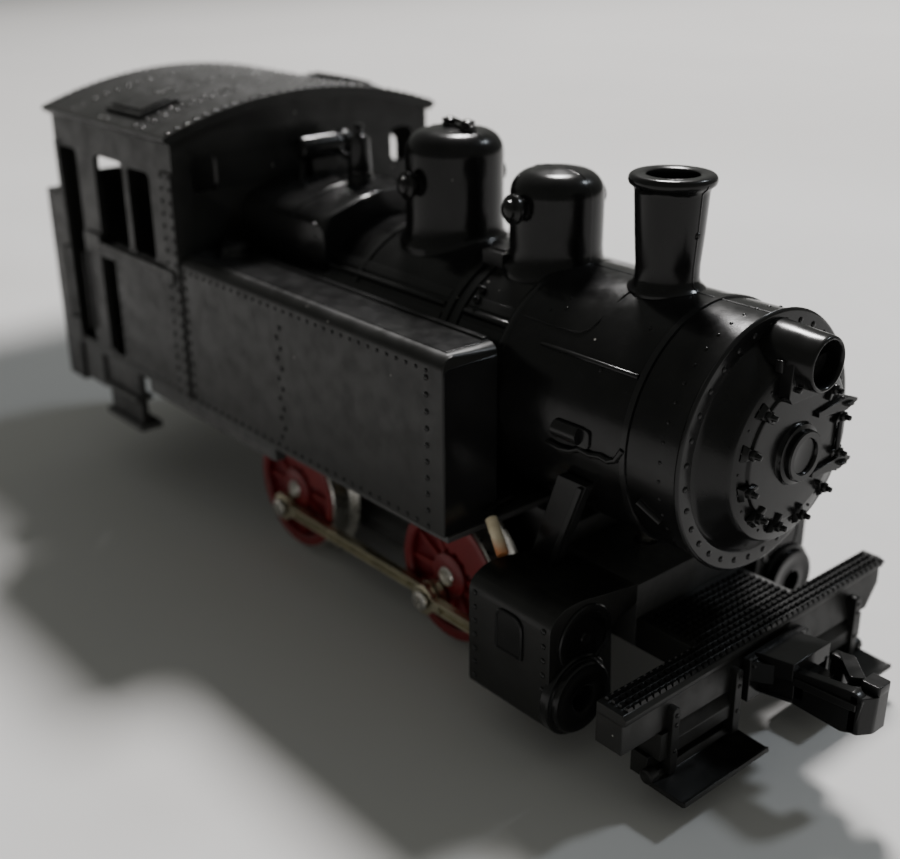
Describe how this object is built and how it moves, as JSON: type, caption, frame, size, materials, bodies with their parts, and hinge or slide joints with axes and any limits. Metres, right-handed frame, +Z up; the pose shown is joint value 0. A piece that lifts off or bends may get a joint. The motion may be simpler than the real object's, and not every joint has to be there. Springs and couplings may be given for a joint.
{
  "type": "model steam locomotive",
  "caption": "Small side-tank steam locomotive model with coupled red wheels, side rods, domed boiler, arched cab roof, stepped pilot beam and swinging hook couplers.",
  "frame": {"origin": "on the centreline, under the middle of the length over the couplers, level with the bottom of the wheel flanges", "axes": "+X forward towards the smokebox, +Y to the left seen from the cab, +Z up"},
  "size_m": [0.1084, 0.033, 0.0441],
  "materials": {
    "gloss_black": "glossy moulded black plastic with fine parting lines and dust",
    "satin_black": "satin moulded black plastic",
    "frame_black": "black cast metal, slightly rough",
    "wheel_red": "dark red moulded wheel centre",
    "bright_steel": "turned steel, lightly worn",
    "rod_nickel": "dull nickel-plated brass stamping",
    "gear_brass": "turned and cut brass",
    "wire_sleeve": "cream wire sleeve with an orange tip"
  },
  "bodies": {
    "chassis": {"chassis_frame": "frame_black", "keeper_plate": "frame_black", "keeper_screw": "bright_steel", "body_screw": "bright_steel", "motor_case": "bright_steel", "boiler_shell": "gloss_black", "smokebox_front": "gloss_black", "headlight": "gloss_black", "chimney": "gloss_black", "sand_dome": "gloss_black", "steam_dome": "gloss_black", "safety_valves": "gloss_black", "firebox_casing": "gloss_black", "turbo_generator": "gloss_black", "whistle": "gloss_black", "cab_body": "satin_black", "cab_roof": "satin_black", "bunker": "satin_black", "footplate": "frame_black", "pilot_beam": "gloss_black", "coupler_pocket_front": "gloss_black", "coupler_pocket_rear": "gloss_black", "lamp_wire": "wire_sleeve", "side_tank_right": "satin_black", "side_tank_left": "satin_black", "cab_step_right": "frame_black", "cab_step_left": "frame_black", "cylinder_block_right": "gloss_black", "cylinder_block_left": "gloss_black", "cylinder_cover_right": "gloss_black", "cylinder_cover_left": "gloss_black", "smokebox_brace_right": "gloss_black", "smokebox_brace_left": "gloss_black", "front_step_right": "gloss_black", "front_step_left": "gloss_black", "pickup_strip_right": "gear_brass", "pickup_strip_left": "gear_brass"},
    "rear_wheelset": {"rear_axle": "bright_steel", "rear_wheel_right": "wheel_red", "rear_wheel_left": "wheel_red", "rear_tyre_right": "bright_steel", "rear_tyre_left": "bright_steel", "rear_crank_pin_right": "bright_steel", "rear_crank_pin_left": "bright_steel", "axle_gear": "gear_brass"},
    "front_wheelset": {"front_axle": "bright_steel", "front_wheel_right": "wheel_red", "front_wheel_left": "wheel_red", "front_tyre_right": "bright_steel", "front_tyre_left": "bright_steel", "front_crank_pin_right": "bright_steel", "front_crank_pin_left": "bright_steel"},
    "motor_rotor": {"motor_shaft": "bright_steel", "worm": "gear_brass"},
    "right_side_rod": {"side_rod_right": "rod_nickel"},
    "right_main_rod": {"main_rod_right": "rod_nickel"},
    "left_side_rod": {"side_rod_left": "rod_nickel"},
    "left_main_rod": {"main_rod_left": "rod_nickel"},
    "front_drawhook": {"front_coupler": "gloss_black"},
    "rear_drawhook": {"rear_coupler": "gloss_black"}
  },
  "joints": [
    {"name": "rear_wheelset_spin", "type": "hinge", "parent": "chassis", "child": "rear_wheelset", "pos_m": [-0.00603, 0, 0.0071], "axis": [0, 1, 0], "continuous": true},
    {"name": "front_wheelset_spin", "type": "hinge", "parent": "chassis", "child": "front_wheelset", "pos_m": [0.01717, 0, 0.0071], "axis": [0, 1, 0], "continuous": true},
    {"name": "motor_spin", "type": "hinge", "parent": "chassis", "child": "motor_rotor", "pos_m": [-0.01443, 0, 0.0119], "axis": [1, 0, 0], "continuous": true},
    {"name": "right_side_rod_pivot", "type": "hinge", "parent": "front_wheelset", "child": "right_side_rod", "pos_m": [0.01611, -0.0107, 0.00506], "axis": [0, 1, 0], "continuous": true},
    {"name": "right_main_rod_pivot", "type": "hinge", "parent": "front_wheelset", "child": "right_main_rod", "pos_m": [0.01611, -0.01165, 0.00506], "axis": [0, 1, 0], "continuous": true},
    {"name": "left_side_rod_pivot", "type": "hinge", "parent": "front_wheelset", "child": "left_side_rod", "pos_m": [0.01921, 0.0107, 0.00604], "axis": [0, 1, 0], "continuous": true},
    {"name": "left_main_rod_pivot", "type": "hinge", "parent": "front_wheelset", "child": "left_main_rod", "pos_m": [0.01921, 0.01165, 0.00604], "axis": [0, 1, 0], "continuous": true},
    {"name": "front_coupler_swing", "type": "hinge", "parent": "chassis", "child": "front_drawhook", "pos_m": [0.04575, 0, 0.0081], "axis": [0, 0, 1], "range_deg": [-12, 12]},
    {"name": "rear_coupler_swing", "type": "hinge", "parent": "chassis", "child": "rear_drawhook", "pos_m": [-0.04575, 0, 0.0081], "axis": [0, 0, 1], "range_deg": [-12, 12]}
  ],
  "couplings": [
    {"joint": "front_wheelset_spin", "follows": "rear_wheelset_spin", "ratio": 1},
    {"joint": "motor_spin", "follows": "rear_wheelset_spin", "ratio": 20},
    {"joint": "right_side_rod_pivot", "follows": "rear_wheelset_spin", "ratio": -1},
    {"joint": "right_main_rod_pivot", "follows": "rear_wheelset_spin", "ratio": -1},
    {"joint": "left_side_rod_pivot", "follows": "rear_wheelset_spin", "ratio": -1},
    {"joint": "left_main_rod_pivot", "follows": "rear_wheelset_spin", "ratio": -1}
  ]
}
